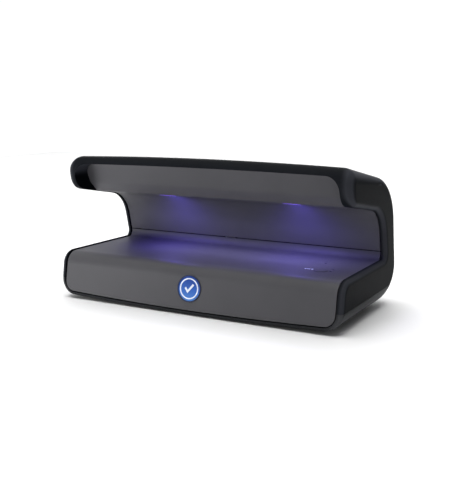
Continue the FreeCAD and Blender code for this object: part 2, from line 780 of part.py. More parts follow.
def badge_frame(target, s, lift):
    """Place a piece square to the front face, lifted off its surface along the normal."""
    drop = (s.floor_z - s.badge_z) / (s.floor_z - s.front_low_z)
    y = s.front_top_y - (s.front_top_y - s.front_low_y) * drop
    run = s.front_top_y.value - s.front_low_y.value
    lean = math.atan2(run, s.floor_z.value - s.front_low_z.value)
    lift = dim(lift)
    return at(target, 0, y - lift * math.cos(lean), s.badge_z + lift * math.sin(lean),
              90 - math.degrees(lean))


def badge_ring(doc, s):
    """Bezel round the badge, with a flange behind the front face."""
    sleeve = drum(doc, "RingSleeve", s.badge_ring_r, s.badge_deep + 0.3, 0, 0, 0.1)
    flange = drum(doc, "RingFlange", s.badge_flange_r, 1.2)
    bore = drum(doc, "RingBore", s.badge_lens_r + 0.05, 8, 0, 0, -1)
    body = fuse(doc, "RingBody", [sleeve, flange])
    return badge_frame(cut(doc, "BadgeRing", body, bore), s, -s.badge_deep)


def badge_lens(doc, s):
    """Blue translucent disc in the bezel."""
    return badge_frame(drum(doc, "BadgeLens", s.badge_lens_r, 2.6), s, -2.6)


def badge_emblem(doc, s):
    """Plain white emblem on the lens: a tick in a ring."""
    plate = new_body(doc, "EmblemPlate")
    face = new_sketch(plate, "XY_Plane")
    ring(face, 0, 0, s.badge_lens_r - 1.2)
    ring(face, 0, 0, s.badge_lens_r - 2.0)
    pad(face, 0.2)
    tick = prism(doc, "EmblemTick", "XY_Plane", [
        (-3.3, 0.1), (-1.0, -3.0), (3.6, 2.4), (2.6, 3.3), (-0.9, -1.0), (-2.3, 0.9),
    ], 0.2)
    return badge_frame(group(doc, "BadgeEmblem", [plate, tick]), s, 0)


def badge_light_box(doc, s):
    """White tube that carries the light from the badge's LED to the lens."""
    body = new_body(doc, "BadgeLightBox")
    face = new_sketch(body, "XY_Plane")
    ring(face, 0, 0, s.badge_flange_r - 0.5)
    ring(face, 0, 0, s.badge_lens_r + 0.6)
    pad(face, s.badge_box_depth)
    return badge_frame(body, s, -s.badge_deep - s.badge_box_depth)


def badge_board(doc, s):
    """Small circuit board behind the light box."""
    half_x = s.badge_board_wide / 2
    half_y = s.badge_board_high / 2
    board = prism(doc, "BadgeBoard", "XY_Plane", [
        (-half_x, -half_y, 1), (half_x, -half_y, 1), (half_x, half_y, 1), (-half_x, half_y, 1),
    ], s.board)
    return badge_frame(board, s, -s.badge_deep - s.badge_box_depth - s.board)


def badge_led(doc, s):
    """Blue LED package on the badge board."""
    body = prism(doc, "BadgeLed", "XY_Plane", [
        (-2.5, -2.5), (2.5, -2.5), (2.5, 2.5), (-2.5, 2.5),
    ], 1.4)
    return badge_frame(body, s, -s.badge_deep - s.badge_box_depth)


# ---------------------------------------------------------------- mode key

def key_board_top(s):
    return s.switch_top_z - s.switch_tall


def key_posts(s):
    """Where the key board is screwed to the platform."""
    return [(s.key_x - 9.5, s.key_y - 4), (s.key_x + 9.5, s.key_y + 22.8)]


def dots(s):
    """The two indicators beside the key, and the pinhole of the note sensor."""
    return [(s.key_x + 6.3, s.key_y + 0.4), (s.key_x + 6.2, s.key_y + 5.6),
            (s.key_x - 5.7, s.key_y + 22.1)]


def mode_key(doc, s):
    """Round key: cap, retaining flange and stem, turned in one piece."""
    body = new_body(doc, "ModeKey")
    half = new_sketch(body, "XZ_Plane")
    top = s.floor_z + s.key_proud
    flange_top = s.floor_z - s.panel - s.key_play
    flange_low = flange_top - s.key_flange
    outline(half, [
        (0, s.key_skirt_bottom_z),
        (s.key_stem_r, s.key_skirt_bottom_z),
        (s.key_stem_r, flange_low),
        (s.key_flange_r, flange_low),
        (s.key_flange_r, flange_top),
        (s.key_r, flange_top),
        (s.key_r, top, 0.8),
        (0, top),
    ])
    turn = body.newObject("PartDesign::Revolution", "Turn")
    turn.Profile = half
    turn.ReferenceAxis = (half, ["V_Axis"])
    turn.Angle = 360
    return at(body, s.key_x, s.key_y, 0)


def key_plunger(doc, s):
    """The switch's plunger, which the key's stem pushes down."""
    low = s.switch_top_z - 1.8
    return drum(doc, "KeyPlunger", s.plunger_r, s.key_skirt_bottom_z - low, s.key_x, s.key_y, low)


def key_switch(doc, s):
    """Tact switch body with the plunger's bore."""
    half = s.switch_size / 2
    low = key_board_top(s)
    body = block(doc, "SwitchBlock", (s.key_x - half, s.key_y - half, low),
                 (s.key_x + half, s.key_y + half, s.switch_top_z))
    bore = drum(doc, "SwitchBore", s.plunger_hole_r, 4, s.key_x, s.key_y, s.switch_top_z - 2.6)
    return cut(doc, "KeySwitch", body, bore)


def key_board(doc, s):
    """Circuit board under the key."""
    top = key_board_top(s)
    low_x = s.key_x - 13
    high_x = s.key_x + 13
    board = block(doc, "KeyBoardPlate", (low_x, s.key_y - 7, top - s.board),
                  (high_x, s.key_y + 30.6, top))
    holes = [drum(doc, "KeyBoardHole", 1.15, 5, x, y, top - 3) for x, y in key_posts(s)]
    return cut(doc, "KeyBoard", board, fuse(doc, "KeyBoardHoles", holes))


def indicator_lenses(doc, s):
    """Light pipes flush with the platform."""
    low = key_board_top(s) + 2.2
    pipes = [drum(doc, "Pipe", s.dot_r, s.floor_z - low, x, y, low) for x, y in dots(s)]
    return group(doc, "IndicatorLenses", pipes)


def small_box(doc, name, x, y, z, size):
    """A component that stands on a board: size is across X, along Y and up."""
    wide, deep, tall = size
    return block(doc, name, (x - wide / 2, y - deep / 2, z), (x + wide / 2, y + deep / 2, z + tall))


def indicator_leds(doc, s):
    """The LEDs under the two indicators."""
    return group(doc, "IndicatorLeds", [
        small_box(doc, "DotLed", x, y, key_board_top(s), (1.6, 1.2, 1.2)) for x, y in dots(s)[:2]
    ])


def ir_sensor(doc, s):
    """The sensor that wakes the lamp when a note lies over the pinhole."""
    x, y = dots(s)[2]
    return small_box(doc, "IrSensor", x, y, key_board_top(s), (3.0, 2.6, 1.6))


# ---------------------------------------------------------------- ultraviolet lamp

def underside_slope(s):
    return (s.fascia_low_z - s.throat_z) / (s.throat_y - s.fascia_low_y)


def lamp_frame(target, s):
    """Place a piece square to the canopy's underside, at the lamps' line."""
    slope = underside_slope(s)
    z = s.throat_z + (s.throat_y - s.lamp_y) * slope
    return at(target, 0, s.lamp_y, z, -math.degrees(math.atan(slope.value)))


def lamp_posts(s):
    """Where the lamp board is screwed down, in the lamp's own frame."""
    return four_places(s.lamp_board_half - 6, -7, 7)


def uv_board(doc, s):
    """Aluminium-core board that carries both LEDs."""
    half = s.lamp_board_half
    deep = s.lamp_board_deep / 2
    body = new_body(doc, "UvBoard")
    face = new_sketch(body, "XY_Plane", s.lamp_board_lift)
    outline(face, [(-half, -deep, 2), (half, -deep, 2), (half, deep, 2), (-half, deep, 2)])
    for x, y in lamp_posts(s):
        ring(face, x, y, 1.15)
    pad(face, s.board)
    return lamp_frame(body, s)


def uv_leds(doc, s):
    """Two ultraviolet power LEDs, facing down."""
    z = s.lamp_board_lift - 1.6
    return lamp_frame(group(doc, "UvLeds", [
        small_box(doc, "UvLed", s.lamp_x * side, 0, z, (3.5, 3.5, 1.6)) for side in (1, -1)
    ]), s)


def uv_reflectors(doc, s):
    """Bright cones between the LEDs and their windows."""
    low = dim(3.4)
    tall = s.lamp_board_lift - 0.2 - low
    cones = []
    for side in (1, -1):
        outer = cone(doc, s.lamp_x * side, low, s.window_r + 0.4, 4.0, tall)
        inner = cone(doc, s.lamp_x * side, low, s.window_r - 0.4, 3.2, tall)
        cones.append(cut(doc, "Reflector", outer, inner))
    return lamp_frame(group(doc, "UvReflectors", cones), s)


def cone(doc, x, z, low_r, high_r, tall):
    feature = doc.addObject("Part::Cone", "Cone")
    bind(feature, "Radius1", low_r)
    bind(feature, "Radius2", high_r)
    bind(feature, "Height", tall)
    return at(feature, x, 0, z)


def uv_windows(doc, s):
    """Two flanged filter windows in the canopy's underside."""
    windows = []
    for side in (1, -1):
        x = s.lamp_x * side
        pane = drum(doc, "Pane", s.window_r, 3, x, 0, 0)
        flange = drum(doc, "PaneFlange", s.window_flange_r, 0.9, x, 0, 2.4)
        windows.append(fuse(doc, "Window", [pane, flange]))
    return lamp_frame(group(doc, "UvWindows", windows), s)


# ---------------------------------------------------------------- base

def main_board(doc, s):
    """Main circuit board on four standoffs."""
    body = new_body(doc, "MainBoard")
    face = new_sketch(body, "XY_Plane", s.main_board_z)
    half = s.main_board_half
    outline(face, [
        (-half, s.main_board_front_y, 2), (half, s.main_board_front_y, 2),
        (half, s.main_board_rear_y, 2), (-half, s.main_board_rear_y, 2),
    ])
    for x, y in board_posts(s):
        ring(face, x, y, 1.15)
    pad(face, s.board)
    return body


def board_top(s):
    return s.main_board_z + s.board


def chips(doc, s):
    """Controller and LED driver."""
    return group(doc, "Chips", [
        small_box(doc, "Controller", -4, 12, board_top(s), (10, 10, 1.6)),
        small_box(doc, "Driver", 14, 18, board_top(s), (5, 6.2, 1.5)),
        small_box(doc, "Regulator", 31, 24, board_top(s), (6.6, 6.2, 2.3)),
    ])


def inductor(doc, s):
    """Choke of the LED driver."""
    core = drum(doc, "InductorCore", 3.8, 4, 24, 8, board_top(s) + 0.6)
    foot = small_box(doc, "InductorFoot", 24, 8, board_top(s), (8, 8, 0.6))
    return fuse(doc, "Inductor", [core, foot])


def capacitors(doc, s):
    """Electrolytic capacitors."""
    cans = [(34, 12, 3.15, 7.7), (34, 3, 3.15, 7.7), (14, 3, 2.5, 5.4), (-34, 14, 2.5, 5.4)]
    return group(doc, "Capacitors", [
        drum(doc, "Can", r, tall, x, y, board_top(s)) for x, y, r, tall in cans
    ])


def connectors(doc, s):
    """Ribbon connectors of the main board."""
    top = board_top(s)
    return group(doc, "Connectors", [
        small_box(doc, "CanopyConnector", -16, 30.5, top, (11, 5, 2.6)),
        small_box(doc, "BadgeConnector", -4, -3.5, top, (11, 4.5, 2.6)),
        small_box(doc, "KeyConnector", 41.5, 6, top, (4.5, 11, 2.6)),
    ])


def power_socket(doc, s):
    """Sheet-metal shroud of the power socket."""
    body = new_body(doc, "PowerSocket")
    face = new_sketch(body, "XZ_Plane", -s.socket_mouth_y)
    slot_outline(face, s.socket_x, socket_z(s), s.socket_wide, s.socket_tall)
    slot_outline(face, s.socket_x, socket_z(s), s.socket_wide - 0.6, s.socket_tall - 0.6)
    pad(face, s.socket_long)
    return body


def socket_tongue(doc, s):
    """Insulating back and contact tongue of the power socket."""
    body = new_body(doc, "SocketTongue")
    back_y = s.socket_mouth_y - s.socket_long
    face = new_sketch(body, "XZ_Plane", -back_y)
    slot_outline(face, s.socket_x, socket_z(s), s.socket_wide - 0.7, s.socket_tall - 0.7)
    pad(face, 1.0, back=True)
    tongue = new_sketch(body, "XZ_Plane", -back_y - 0.5)
    z = socket_z(s)
    outline(tongue, [
        (s.socket_x - 3.3, z - 0.35), (s.socket_x + 3.3, z - 0.35),
        (s.socket_x + 3.3, z + 0.35), (s.socket_x - 3.3, z + 0.35),
    ])
    pad(tongue, s.socket_long - 1.6, back=True)
    return body


def rubber_feet(doc, s):
    """Four stick-on feet, part sunk in the cover."""
    return group(doc, "RubberFeet", [
        drum(doc, "Foot", s.foot_r, s.foot_top_z, x, y, 0)
        for x, y in four_places(s.foot_x, s.foot_front_y, s.foot_rear_y)
    ])


def label_sheet(doc, s, name, margin, thick):
    """A sheet in the label's place, wider than the label by the margin."""
    half = 32 + margin
    front = -26 - margin
    rear = 4 + margin
    return prism(doc, name, "XY_Plane", [
        (-half, front, 2), (half, front, 2), (half, rear, 2), (-half, rear, 2),
    ], thick, offset=s.label_top_z - thick)


def rating_label(doc, s):
    """Blank label on the bottom."""
    return label_sheet(doc, s, "RatingLabel", 0, s.label)


# ---------------------------------------------------------------- ribbons and screws

def beside(route, thick):
    """The same route moved to its left by a thickness."""
    points = [Vector(dim(c[0]).value, dim(c[1]).value, 0) for c in route]
    runs = [(b - a).normalize() for a, b in zip(points, points[1:])]
    moved = []
    for i, corner in enumerate(route):
        before = runs[max(i - 1, 0)]
        after = runs[min(i, len(runs) - 1)]
        left = Vector(-before.y - after.y, before.x + after.x, 0)
        step = left * (thick / (1 + before.dot(after)))
        grown = -thick if before.cross(after).z > 0 else thick
        rest = [dim(corner[2]) + grown] if len(corner) > 2 else []
        moved.append((corner[0] + step.x, corner[1] + step.y, *rest))
    return moved


def ribbon(doc, name, role, route, start, wide=8):
    """A flat ribbon along a route of (across, up, radius)."""
    return prism(doc, name, role, route + beside(route, 0.3)[::-1], wide, offset=start)


def canopy_ribbon(doc, s):
    """From the lamp board, down behind the back wall, to the main board."""
    plug_z = board_top(s) + 1.6
    return ribbon(doc, "CanopyRibbon", "YZ_Plane", [
        (s.lamp_y + 11.5, s.throat_z + 13.9), (s.seam_y + 0.4, s.throat_z + 10.4, 9),
        (s.seam_y + 8, plug_z, 4), (s.seam_y + 2.3, plug_z),
    ], -20)


def badge_ribbon(doc, s):
    """From the badge board to the main board."""
    plug_z = board_top(s) + 1.4
    plug_y = s.main_board_front_y
    return ribbon(doc, "BadgeRibbon", "YZ_Plane", [
        (plug_y - 30, plug_z), (plug_y - 23, plug_z, 4), (plug_y - 15, plug_z - 6, 4),
        (plug_y - 8, plug_z, 3), (plug_y + 0.1, plug_z),
    ], -8)


def key_ribbon(doc, s):
    """From the key board to the main board."""
    plug_z = board_top(s) + 1.4
    key_z = key_board_top(s) + 1
    return ribbon(doc, "KeyRibbon", "XZ_Plane", [
        (s.main_board_half - 1.1, plug_z), (s.main_board_half + 5, plug_z, 3),
        (s.main_board_half + 13, key_z, 3), (s.main_board_half + 21.9, key_z),
    ], -10)


def branch_connectors(doc, s):
    """Ribbon connectors on the key board and on the lamp board."""
    key_side = small_box(doc, "KeySideConnector", 68.8, 6, key_board_top(s), (3.6, 11, 2.4))
    lamp_side = small_box(doc, "LampSideConnector", -16, 7.2, s.lamp_board_lift + s.board, (11, 4.4, 2.4))
    return [key_side, lamp_frame(group(doc, "LampConnectorPlace", [lamp_side]), s)]


def screw(doc, name, x, y, z, shank_r, shank, head_r, head):
    """A pan-head screw whose head ends at height z and whose shank points up."""
    body = new_body(doc, name)
    half = new_sketch(body, "XZ_Plane")
    outline(half, [
        (0, -dim(head)), (head_r, -dim(head), dim(head) * 0.5), (head_r, 0), (shank_r, 0),
        (shank_r, dim(shank) - 0.8), (0, shank),
    ])
    turn = body.newObject("PartDesign::Revolution", "Turn")
    turn.Profile = half
    turn.ReferenceAxis = (half, ["V_Axis"])
    turn.Angle = 360
    recess = new_sketch(body, "XY_Plane", -dim(head))
    arm = dim(head_r) * 0.6
    slim = dim(head_r) * 0.16
    outline(recess, [
        (-arm, -slim), (-slim, -slim), (-slim, -arm), (slim, -arm), (slim, -slim), (arm, -slim),
        (arm, slim), (slim, slim), (slim, arm), (-slim, arm), (-slim, slim), (-arm, slim),
    ])
    pocket(recess, dim(head) * 0.55, back=True)
    return at(body, x, y, z)


def cover_screws(doc, s):
    """Four screws that hold the bottom cover."""
    return group(doc, "CoverScrews", [
        screw(doc, "CoverScrew", x, y, 5, s.screw_r, 16, s.screw_head_r, 2)
        for x, y in four_places(s.screw_x, s.screw_front_y, s.screw_rear_y)
    ])


def upside_down(target, z):
    """Turn a placed screw over, so that its head is on top of a board at height z."""
    base = target.Placement.Base
    target.setExpression(".Placement.Base.z", None)
    target.Placement = Placement(Vector(base.x, base.y, dim(z).value), Rotation(Vector(1, 0, 0), 180))
    bind(target, ".Placement.Base.z", z)
    return target


def board_screws(doc, s):
    """Four small screws that hold the main board."""
    top = board_top(s)
    return group(doc, "BoardScrews", [
        upside_down(screw(doc, "BoardScrew", x, y, top, 0.9, 6, 1.9, 1.3), top)
        for x, y in board_posts(s)
    ])


def key_board_screws(doc, s):
    """Two small screws that hold the key board from below."""
    low = key_board_top(s) - s.board
    return group(doc, "KeyBoardScrews", [
        screw(doc, "KeyBoardScrew", x, y, low, 0.9, 6, 1.9, 1.3) for x, y in key_posts(s)
    ])


def lamp_screws(doc, s):
    """Four small screws that hold the lamp board."""
    top = s.lamp_board_lift + s.board
    return lamp_frame(group(doc, "LampScrews", [
        upside_down(screw(doc, "LampScrew", x, y, top, 0.9, 6, 1.9, 1.3), top)
        for x, y in lamp_posts(s)
    ]), s)


# ---------------------------------------------------------------- whole detector

def build(doc, s):
    """Every sub-part, by the name of its node."""
    wall = casing_wall(doc, s)
    made = {"outer_shell": outer_shell(doc, s, wall), "bottom_cover": bottom_cover(doc, s, wall)}
    makers = [
        lower_panel, upper_panel,
        badge_ring, badge_lens, badge_emblem, badge_light_box, badge_board, badge_led,
        mode_key, key_plunger, key_switch, key_board, indicator_lenses, indicator_leds, ir_sensor,
        uv_board, uv_leds, uv_reflectors, uv_windows,
        main_board, chips, inductor, capacitors, connectors, power_socket, socket_tongue,
        canopy_ribbon, badge_ribbon, key_ribbon,
        cover_screws, board_screws, key_board_screws, lamp_screws,
        rubber_feet, rating_label,
    ]
    for maker in makers:
        made[maker.__name__] = maker(doc, s)
    key_side, lamp_side = branch_connectors(doc, s)
    made["key_connector"] = key_side
    made["lamp_connector"] = lamp_side
    return made


def check(doc, made):
    """Stop if any object failed or any sub-part is not a sound solid."""
    failed = [o.Name for o in doc.Objects if "Invalid" in o.State or "Error" in o.State]
    for name, part in made.items():
        shape = part.Shape
        if shape.isNull() or not shape.isValid() or not shape.Solids or shape.Volume <= 0:
            failed.append(name)
    if failed:
        raise RuntimeError("failed: " + ", ".join(failed))


def main():
    doc = FreeCAD.newDocument("BillDetector")
    s = make_sheet(doc)
    made = build(doc, s)
    doc.recompute()
    for name, part in made.items():
        part.Label = name
    check(doc, made)
    os.makedirs("parts", exist_ok=True)
    for name, part in made.items():
        part.Shape.exportStep("parts/%s.step" % name)
        print("%-18s %2d solids %10.1f mm3" % (name, len(part.Shape.Solids), part.Shape.Volume))


main()
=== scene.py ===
import json
import math

import bmesh
import bpy
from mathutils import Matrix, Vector


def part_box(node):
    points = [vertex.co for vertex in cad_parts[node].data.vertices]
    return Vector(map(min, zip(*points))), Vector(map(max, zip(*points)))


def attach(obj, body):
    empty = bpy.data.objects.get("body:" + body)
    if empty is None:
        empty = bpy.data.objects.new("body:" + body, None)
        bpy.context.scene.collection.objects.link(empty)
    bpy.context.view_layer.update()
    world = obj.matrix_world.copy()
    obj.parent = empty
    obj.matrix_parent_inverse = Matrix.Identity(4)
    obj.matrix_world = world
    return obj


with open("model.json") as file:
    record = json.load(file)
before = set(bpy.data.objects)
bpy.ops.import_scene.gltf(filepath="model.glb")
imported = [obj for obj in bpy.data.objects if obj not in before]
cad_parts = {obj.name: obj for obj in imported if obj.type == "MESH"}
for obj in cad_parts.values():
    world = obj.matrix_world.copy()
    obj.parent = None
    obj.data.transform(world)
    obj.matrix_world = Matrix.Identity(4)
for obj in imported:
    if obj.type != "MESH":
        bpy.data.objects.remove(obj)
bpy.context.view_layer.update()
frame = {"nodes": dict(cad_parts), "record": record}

MM = 0.001

# stage
FLOOR_HALF = 1.1
VIEW_TURN = math.radians(28.90)
VIEW_TILT = math.radians(79.76)
VIEW_PLACE = (0.26364, -0.47832, 0.13834)
VIEW_LENS = 60.18
SKY_BEHIND = 1.05
SKY_ELSEWHERE = 0.16

# light of the ultraviolet lamps: half their spacing, and their power in watts
LAMP_X = 48 * MM
LAMP_POWER = 0.027
GLOW_POWER = 0.036

# relief of moulded plastic, in metres, and the number of its grains to the metre
GRAIN_DEPTH = 0.04 * MM
FINE_DEPTH = 0.01 * MM
GRAIN = 2600


# ---------------------------------------------------------------- node helpers

class Nodes:
    """A material's node tree, with short calls for the nodes used here."""

    def __init__(self, name):
        self.material = bpy.data.materials.new(name)
        self.material.use_nodes = True
        self.tree = self.material.node_tree
        self.shader = self.tree.nodes["Principled BSDF"]
        self.place = self.tree.nodes.new("ShaderNodeTexCoord").outputs["Object"]

    def add(self, kind, **values):
        """A node of a kind; its inputs are given by name, as numbers or as links."""
        node = self.tree.nodes.new("ShaderNode" + kind)
        for key, value in values.items():
            self.feed(node, key.replace("_", " "), value)
        return node

    def feed(self, node, key, value):
        if isinstance(value, bpy.types.NodeSocket):
            self.tree.links.new(value, node.inputs[key])
        else:
            node.inputs[key].default_value = value

    def noise(self, scale, detail=2.0, rough=0.5, vector=None):
        """A noise pattern; the scale is the number of features to the metre."""
        place = vector or self.place
        node = self.add("TexNoise", Vector=place, Scale=scale, Detail=detail, Roughness=rough)
        return node.outputs["Fac"]

    def stretched(self, factors):
        """The place, scaled differently along each axis."""
        node = self.tree.nodes.new("ShaderNodeVectorMath")
        node.operation = "MULTIPLY"
        self.tree.links.new(self.place, node.inputs[0])
        node.inputs[1].default_value = factors
        return node.outputs[0]

    def spread(self, value, low, high, start=0.3, end=0.7):
        """A value from start to end, mapped to the range from low to high."""
        node = self.tree.nodes.new("ShaderNodeMapRange")
        self.tree.links.new(value, node.inputs["Value"])
        node.inputs["From Min"].default_value = start
        node.inputs["From Max"].default_value = end
        node.inputs["To Min"].default_value = low
        node.inputs["To Max"].default_value = high
        return node.outputs["Result"]

    def ramp(self, value, *stops):
        """A colour ramp; each stop is (position, colour)."""
        node = self.tree.nodes.new("ShaderNodeValToRGB")
        self.tree.links.new(value, node.inputs["Fac"])
        band = node.color_ramp
        while len(band.elements) < len(stops):
            band.elements.new(1.0)
        for element, (position, colour) in zip(band.elements, stops):
            element.position = position
            element.color = (*colour, 1.0)
        return node.outputs["Color"]

    def math(self, kind, first, second):
        """Two values, each a number or a link, added, taken away or multiplied."""
        node = self.tree.nodes.new("ShaderNodeMath")
        node.operation = kind
        self.feed(node, 0, first)
        self.feed(node, 1, second)
        return node.outputs["Value"]

    def bump(self, height, depth):
        """Relief of a depth in metres."""
        return self.add("Bump", Height=height, Distance=depth).outputs["Normal"]

    def finish(self, **sockets):
        """Feed the shader's sockets and give the material."""
        for key, value in sockets.items():
            self.feed(self.shader, key.replace("_", " "), value)
        return self.material


def tone(colour, factor):
    """A colour made lighter or darker by a factor."""
    return tuple(min(1.0, part * factor) for part in colour)


def moulded(name, colour, rough, grain=GRAIN, depth=GRAIN_DEPTH, level=0.5, vary=0.08):
    """Moulded plastic with an eroded grain, faint flow marks and an uneven sheen."""
    n = Nodes(name)
    flow = n.noise(28, 3, 0.55)
    fine = n.noise(grain, 3, 0.6)
    base = n.ramp(flow, (0.35, tone(colour, 1 - vary)), (0.65, tone(colour, 1 + vary)))
    sheen = n.spread(fine, rough - 0.05, rough + 0.06)
    n.finish(Base_Color=base, Roughness=sheen, Normal=n.bump(fine, depth))
    return n.finish(Specular_IOR_Level=level)


def shell_material(name, colour, highlight_colour, level):
    """Black casing plastic with an eroded grain and flow marks; its base colour is painted paler on
    the rounded side edges and a little on faces along Y, a painted highlight.
    """
    n = Nodes(name)
    flow = n.noise(28, 3, 0.55)
    fine = n.noise(GRAIN, 3, 0.6)
    facing = n.tree.nodes.new("ShaderNodeTexCoord").outputs["Normal"]
    split = n.add("SeparateXYZ", Vector=facing)
    sideways = n.math("MULTIPLY", split.outputs["X"], split.outputs["X"])
    rounded = n.math("MULTIPLY", sideways, n.math("SUBTRACT", 1.0, sideways))
    forward = n.math("MULTIPLY", split.outputs["Y"], split.outputs["Y"])
    # painted highlight: the mask is highest where the normal is half sideways, on the rounded side
    # edges, with a weaker share on faces that face forward or back
    highlight_mask = n.math("ADD", n.math("MULTIPLY", rounded, 4.4), n.math("MULTIPLY", forward, 0.24))
    highlight_and_flow = n.math("ADD", highlight_mask, n.math("MULTIPLY", flow, 0.1))
    base = n.ramp(highlight_and_flow, (0.05, colour), (0.95, highlight_colour))
    n.finish(Base_Color=base, Roughness=n.spread(fine, 0.32, 0.44), Normal=n.bump(fine, GRAIN_DEPTH))
    return n.finish(Specular_IOR_Level=level)


def metal(name, colour, rough, brush=(1, 1, 1)):
    """Bare metal with a drawn or tumbled surface."""
    n = Nodes(name)
    drawn = n.noise(1500, 3, 0.6, n.stretched(brush))
    tint = n.noise(300, 2)
    base = n.ramp(tint, (0.3, tone(colour, 0.88)), (0.7, colour))
    n.finish(Base_Color=base, Roughness=n.spread(drawn, rough - 0.08, rough + 0.1))
    return n.finish(Normal=n.bump(drawn, 0.02 * MM), Metallic=1.0)


def glowing(name, colour, glow, strength, rough):
    """Lit plastic: brighter in the middle of its noise."""
    n = Nodes(name)
    cloud = n.noise(220, 2)
    base = n.ramp(cloud, (0.3, tone(colour, 0.8)), (0.7, colour))
    light = n.ramp(cloud, (0.3, tone(glow, 0.82)), (0.7, glow))
    n.finish(Base_Color=base, Emission_Color=light, Roughness=n.spread(cloud, rough, rough + 0.06))
    return n.finish(Emission_Strength=strength)


# ---------------------------------------------------------------- materials

def lens_material():
    """The badge's lit blue face: a paler foot and a deeper crown."""
    n = Nodes("blue_lens")
    split = n.add("SeparateXYZ", Vector=n.place)
    low, high = (corner.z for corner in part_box("badge_lens"))
    height = n.spread(split.outputs["Z"], 0.0, 1.0, low, high)
    cloud = n.noise(160, 2)
    mixed = n.math("ADD", n.math("MULTIPLY", cloud, 0.25), height)
    light = n.ramp(mixed, (0.1, (0.07, 0.20, 0.52)), (0.6, (0.030, 0.10, 0.38)),
                   (1.0, (0.010, 0.045, 0.25)))
    n.finish(Base_Color=light, Emission_Color=light, Roughness=n.spread(cloud, 0.12, 0.2))
    return n.finish(Emission_Strength=0.30, Specular_IOR_Level=0.2)


def window_material():
    """Violet filter glass over an ultraviolet lamp, lit from behind, unevenly by a noise."""
    n = Nodes("filter_glass")
    cloud = n.noise(400, 2)
    base = n.ramp(cloud, (0.3, (0.03, 0.012, 0.09)), (0.7, (0.05, 0.02, 0.14)))
    light = n.ramp(cloud, (0.3, (0.20, 0.10, 0.9)), (0.7, (0.30, 0.18, 1.0)))
    n.finish(Base_Color=base, Emission_Color=light, Roughness=n.spread(cloud, 0.05, 0.12))
    return n.finish(Emission_Strength=2.0)


def board_material():
    """Green solder mask over copper tracks."""
    n = Nodes("circuit_board")
    tracks = n.add("TexBrick", Vector=n.place, Scale=330, Mortar_Size=0.03,
                   Color1=(0.012, 0.09, 0.035, 1), Color2=(0.018, 0.12, 0.045, 1),
                   Mortar=(0.008, 0.06, 0.025, 1))
    grain = n.noise(900, 2)
    n.finish(Base_Color=tracks.outputs["Color"], Roughness=n.spread(grain, 0.25, 0.38))
    return n.finish(Normal=n.bump(tracks.outputs["Fac"], 0.03 * MM))


def ribbon_material():
    """Flat flexible cable: pale film over parallel conductors."""
    n = Nodes("ribbon_film")
    wave = n.add("TexWave", Vector=n.place, Scale=320, Distortion=0.0)
    wave.bands_direction = "X"
    base = n.ramp(wave.outputs["Fac"], (0.3, (0.55, 0.56, 0.58)), (0.6, (0.80, 0.80, 0.78)))
    grain = n.noise(600, 2)
    n.finish(Base_Color=base, Roughness=n.spread(grain, 0.3, 0.42))
    return n.finish(Normal=n.bump(wave.outputs["Fac"], 0.04 * MM))


def lens_clear():
    """Smoky clear pipe of an indicator."""
    n = Nodes("clear_lens")
    cloud = n.noise(500, 2)
    base = n.ramp(cloud, (0.3, (0.015, 0.013, 0.03)), (0.7, (0.03, 0.026, 0.055)))
    n.finish(Base_Color=base, Roughness=n.spread(cloud, 0.08, 0.16))
    return n.finish(Specular_IOR_Level=0.5)


MATERIALS = {
    # the second colour of each casing plastic is its painted highlight on rounded edges
    "black_plastic": shell_material(
        "black_plastic", (0.0036, 0.0045, 0.0058), (0.040, 0.042, 0.050), 0.008),
    # the cover is a paler copy of the casing black: its lighter base stands for the floor's light
    # reflected on the lower lip, a painted reflection
    "cover_plastic": shell_material(
        "cover_plastic", (0.0110, 0.0120, 0.0140), (0.066, 0.067, 0.072), 0.03),
    "grey_plastic": moulded("grey_plastic", (0.079, 0.078, 0.085), 0.50, level=0.14, vary=0.04),
    "dark_bezel": moulded(
        "dark_bezel", (0.004, 0.012, 0.060), 0.30, grain=1800, depth=FINE_DEPTH, level=0.2),
    "blue_lens": lens_material(),
    "white_print": glowing("white_print", (0.70, 0.75, 0.84), (0.72, 0.80, 1.0), 0.22, 0.35),
    "white_plastic": moulded("white_plastic", (0.72, 0.72, 0.70), 0.4, depth=0.02 * MM),
    "circuit_board": board_material(),
    "black_plastic_part": moulded("black_plastic_part", (0.016, 0.016, 0.017), 0.5, grain=1800),
    "clear_lens": lens_clear(),
    "aluminium_board": metal("aluminium_board", (0.78, 0.79, 0.80), 0.35, (1, 8, 1)),
    "led_ceramic": glowing("led_ceramic", (0.5, 0.45, 0.7), (0.35, 0.2, 1.0), 6.0, 0.3),
    "bright_metal": metal("bright_metal", (0.86, 0.86, 0.88), 0.16),
    "filter_glass": window_material(),
    "ferrite": moulded("ferrite", (0.05, 0.048, 0.046), 0.6, grain=1500),
    "can_metal": metal("can_metal", (0.72, 0.73, 0.75), 0.28, (1, 1, 6)),
    "socket_steel": metal("socket_steel", (0.62, 0.62, 0.63), 0.24, (1, 6, 1)),
    "ribbon_film": ribbon_material(),
    "screw_steel": metal("screw_steel", (0.30, 0.30, 0.31), 0.32, (1, 1, 5)),
    "foot_rubber": moulded("foot_rubber", (0.022, 0.022, 0.023), 0.78, grain=1200, level=0.25),
    "label_film": moulded("label_film", (0.62, 0.62, 0.61), 0.42, grain=3000, depth=FINE_DEPTH),
}


def dress_nodes():
    """Give every carried-over solid the procedural finish of its slot."""
    for part in frame["record"]["subparts"]:
        node = frame["nodes"][part["node"]]
        for holder in node.material_slots:
            holder.link = "OBJECT"
            holder.material = MATERIALS[part["material_slot"]]


dress_nodes()


# ---------------------------------------------------------------- printed legend

